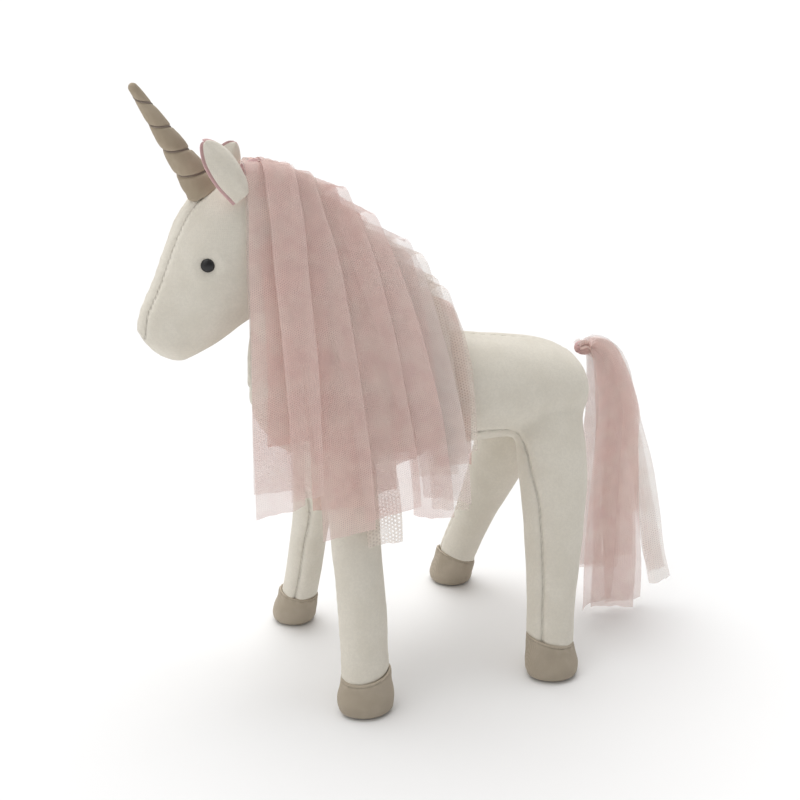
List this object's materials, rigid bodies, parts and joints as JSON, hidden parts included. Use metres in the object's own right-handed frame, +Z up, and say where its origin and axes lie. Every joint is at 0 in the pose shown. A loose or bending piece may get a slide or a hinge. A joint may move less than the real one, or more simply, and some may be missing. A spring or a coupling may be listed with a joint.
{
  "type": "plush unicorn",
  "caption": "Standing stuffed toy unicorn of off-white knit with taupe hooves and wound horn, cupped ears, bead eyes, and a mane and tail of layered tulle strips.",
  "frame": {"origin": "on the floor under the middle of the toy's box, at the level of the hoof soles", "axes": "+Z up, -X towards the muzzle, -Y towards the toy's left side"},
  "size_m": [0.3412, 0.1624, 0.348],
  "materials": {
    "torso_stuffing": "polyester fibre filling",
    "torso_side_panel_left": "off-white knit, matte",
    "torso_side_panel_right": "off-white knit, matte",
    "belly_gusset": "off-white knit, matte",
    "neck_root_flex": "off-white knit over fibre filling",
    "leg_root_flex_front_left": "off-white knit over fibre filling",
    "leg_root_flex_front_right": "off-white knit over fibre filling",
    "leg_root_flex_rear_left": "off-white knit over fibre filling",
    "leg_root_flex_rear_right": "off-white knit over fibre filling",
    "neck_stuffing": "polyester fibre filling",
    "neck_side_panel_left": "off-white knit, matte",
    "neck_side_panel_right": "off-white knit, matte",
    "head_stuffing": "polyester fibre filling",
    "head_side_panel_left": "off-white knit, matte",
    "head_side_panel_right": "off-white knit, matte",
    "head_gusset": "off-white knit, matte",
    "eye_left": "black, satin",
    "eye_right": "black, satin",
    "eye_washer_left": "white, matte",
    "eye_washer_right": "white, matte",
    "horn_sleeve": "taupe woven cloth, matte",
    "horn_stuffing": "polyester fibre filling",
    "horn_thread": "taupe thread",
    "ear_outer_left": "off-white knit, matte",
    "ear_lining_left": "dusty pink cloth",
    "ear_outer_right": "off-white knit, matte",
    "ear_lining_right": "dusty pink cloth",
    "leg_stuffing_front_left": "polyester fibre filling",
    "leg_outer_panel_front_left": "off-white knit, matte",
    "leg_inner_panel_front_left": "off-white knit, matte",
    "hoof_front_left": "taupe cloth, matte",
    "leg_stuffing_front_right": "polyester fibre filling",
    "leg_outer_panel_front_right": "off-white knit, matte",
    "leg_inner_panel_front_right": "off-white knit, matte",
    "hoof_front_right": "taupe cloth, matte",
    "leg_stuffing_rear_left": "polyester fibre filling",
    "leg_outer_panel_rear_left": "off-white knit, matte",
    "leg_inner_panel_rear_left": "off-white knit, matte",
    "hoof_rear_left": "taupe cloth, matte",
    "leg_stuffing_rear_right": "polyester fibre filling",
    "leg_outer_panel_rear_right": "off-white knit, matte",
    "leg_inner_panel_rear_right": "off-white knit, matte",
    "hoof_rear_right": "taupe cloth, matte",
    "mane_left_poll": "sheer tulle, dusty pink",
    "mane_left_upper": "sheer tulle, dusty pink",
    "mane_left_middle": "sheer tulle, dusty pink",
    "mane_left_lower": "sheer tulle, dusty pink",
    "mane_left_withers": "sheer tulle, dusty pink",
    "mane_right_poll": "sheer tulle, dusty pink",
    "mane_right_upper": "sheer tulle, dusty pink",
    "mane_right_middle": "sheer tulle, dusty pink",
    "mane_right_lower": "sheer tulle, dusty pink",
    "mane_right_withers": "sheer tulle, dusty pink",
    "tail_knot": "gathered tulle",
    "tail_lock_inner": "sheer tulle, dusty pink",
    "tail_lock_middle": "sheer tulle, dusty pink",
    "tail_lock_outer": "sheer tulle, dusty pink"
  },
  "bodies": {
    "torso": {"torso_stuffing": "torso_stuffing", "torso_side_panel_left": "torso_side_panel_left", "torso_side_panel_right": "torso_side_panel_right", "belly_gusset": "belly_gusset", "neck_root_flex": "neck_root_flex", "leg_root_flex_front_left": "leg_root_flex_front_left", "leg_root_flex_front_right": "leg_root_flex_front_right", "leg_root_flex_rear_left": "leg_root_flex_rear_left", "leg_root_flex_rear_right": "leg_root_flex_rear_right"},
    "neck": {"neck_stuffing": "neck_stuffing", "neck_side_panel_left": "neck_side_panel_left", "neck_side_panel_right": "neck_side_panel_right"},
    "head": {"head_stuffing": "head_stuffing", "head_side_panel_left": "head_side_panel_left", "head_side_panel_right": "head_side_panel_right", "head_gusset": "head_gusset", "eye_left": "eye_left", "eye_right": "eye_right", "eye_washer_left": "eye_washer_left", "eye_washer_right": "eye_washer_right", "horn_sleeve": "horn_sleeve", "horn_stuffing": "horn_stuffing", "horn_thread": "horn_thread"},
    "ear_left": {"ear_outer_left": "ear_outer_left", "ear_lining_left": "ear_lining_left"},
    "ear_right": {"ear_outer_right": "ear_outer_right", "ear_lining_right": "ear_lining_right"},
    "leg_front_left": {"leg_stuffing_front_left": "leg_stuffing_front_left", "leg_outer_panel_front_left": "leg_outer_panel_front_left", "leg_inner_panel_front_left": "leg_inner_panel_front_left", "hoof_front_left": "hoof_front_left"},
    "leg_front_right": {"leg_stuffing_front_right": "leg_stuffing_front_right", "leg_outer_panel_front_right": "leg_outer_panel_front_right", "leg_inner_panel_front_right": "leg_inner_panel_front_right", "hoof_front_right": "hoof_front_right"},
    "leg_rear_left": {"leg_stuffing_rear_left": "leg_stuffing_rear_left", "leg_outer_panel_rear_left": "leg_outer_panel_rear_left", "leg_inner_panel_rear_left": "leg_inner_panel_rear_left", "hoof_rear_left": "hoof_rear_left"},
    "leg_rear_right": {"leg_stuffing_rear_right": "leg_stuffing_rear_right", "leg_outer_panel_rear_right": "leg_outer_panel_rear_right", "leg_inner_panel_rear_right": "leg_inner_panel_rear_right", "hoof_rear_right": "hoof_rear_right"},
    "mane_left": {"mane_left_poll": "mane_left_poll", "mane_left_upper": "mane_left_upper", "mane_left_middle": "mane_left_middle", "mane_left_lower": "mane_left_lower", "mane_left_withers": "mane_left_withers"},
    "mane_right": {"mane_right_poll": "mane_right_poll", "mane_right_upper": "mane_right_upper", "mane_right_middle": "mane_right_middle", "mane_right_lower": "mane_right_lower", "mane_right_withers": "mane_right_withers"},
    "tail_base": {"tail_knot": "tail_knot"},
    "tail": {"tail_lock_inner": "tail_lock_inner", "tail_lock_middle": "tail_lock_middle", "tail_lock_outer": "tail_lock_outer"}
  },
  "joints": [
    {"name": "neck_nod", "type": "hinge", "parent": "torso", "child": "neck", "pos_m": [-0.05319, 0, 0.19248], "axis": [0, 1, 0], "range_deg": [-12, 12], "stiffness_Nm_per_rad": 2, "deforming": ["neck_root_flex"]},
    {"name": "head_turn", "type": "hinge", "parent": "neck", "child": "head", "pos_m": [-0.079, 0, 0.239], "axis": [-0.5057, 0, 0.8627], "range_deg": [-15, 15], "stiffness_Nm_per_rad": 1},
    {"name": "ear_left_flop", "type": "hinge", "parent": "head", "child": "ear_left", "pos_m": [-0.119, -0.0215, 0.2925], "axis": [0.7648, 0.3489, 0.5415], "range_deg": [-10, 30], "stiffness_Nm_per_rad": 0.02},
    {"name": "ear_right_flop", "type": "hinge", "parent": "head", "child": "ear_right", "pos_m": [-0.1262, 0.0215, 0.2882], "axis": [-0.8751, 0.0093, 0.4839], "range_deg": [-10, 30], "stiffness_Nm_per_rad": 0.02},
    {"name": "leg_front_left_swing", "type": "hinge", "parent": "torso", "child": "leg_front_left", "pos_m": [-0.061, -0.0245, 0.133], "axis": [0, 1, 0], "range_deg": [-20, 20], "stiffness_Nm_per_rad": 1.5, "deforming": ["leg_root_flex_front_left"]},
    {"name": "leg_front_right_swing", "type": "hinge", "parent": "torso", "child": "leg_front_right", "pos_m": [-0.061, 0.0245, 0.133], "axis": [0, 1, 0], "range_deg": [-20, 20], "stiffness_Nm_per_rad": 1.5, "deforming": ["leg_root_flex_front_right"]},
    {"name": "leg_rear_left_swing", "type": "hinge", "parent": "torso", "child": "leg_rear_left", "pos_m": [0.067, -0.0255, 0.133], "axis": [0, 1, 0], "range_deg": [-15, 15], "stiffness_Nm_per_rad": 1.5, "deforming": ["leg_root_flex_rear_left"]},
    {"name": "leg_rear_right_swing", "type": "hinge", "parent": "torso", "child": "leg_rear_right", "pos_m": [0.067, 0.0255, 0.133], "axis": [0, 1, 0], "range_deg": [-15, 15], "stiffness_Nm_per_rad": 1.5, "deforming": ["leg_root_flex_rear_right"]},
    {"name": "mane_left_lift", "type": "hinge", "parent": "neck", "child": "mane_left", "pos_m": [-0.0565, -0.004, 0.26675], "axis": [-0.7229, 0, 0.6909], "range_deg": [0, 50]},
    {"name": "mane_right_lift", "type": "hinge", "parent": "neck", "child": "mane_right", "pos_m": [-0.0565, 0.004, 0.26675], "axis": [0.7229, 0, -0.6909], "range_deg": [0, 50]},
    {"name": "tail_sway", "type": "hinge", "parent": "torso", "child": "tail_base", "pos_m": [0.1035, 0, 0.1765], "axis": [1, 0, 0], "range_deg": [-15, 15]},
    {"name": "tail_lift", "type": "hinge", "parent": "tail_base", "child": "tail", "pos_m": [0.1035, 0, 0.1765], "axis": [0, -1, 0], "range_deg": [0, 55]}
  ]
}
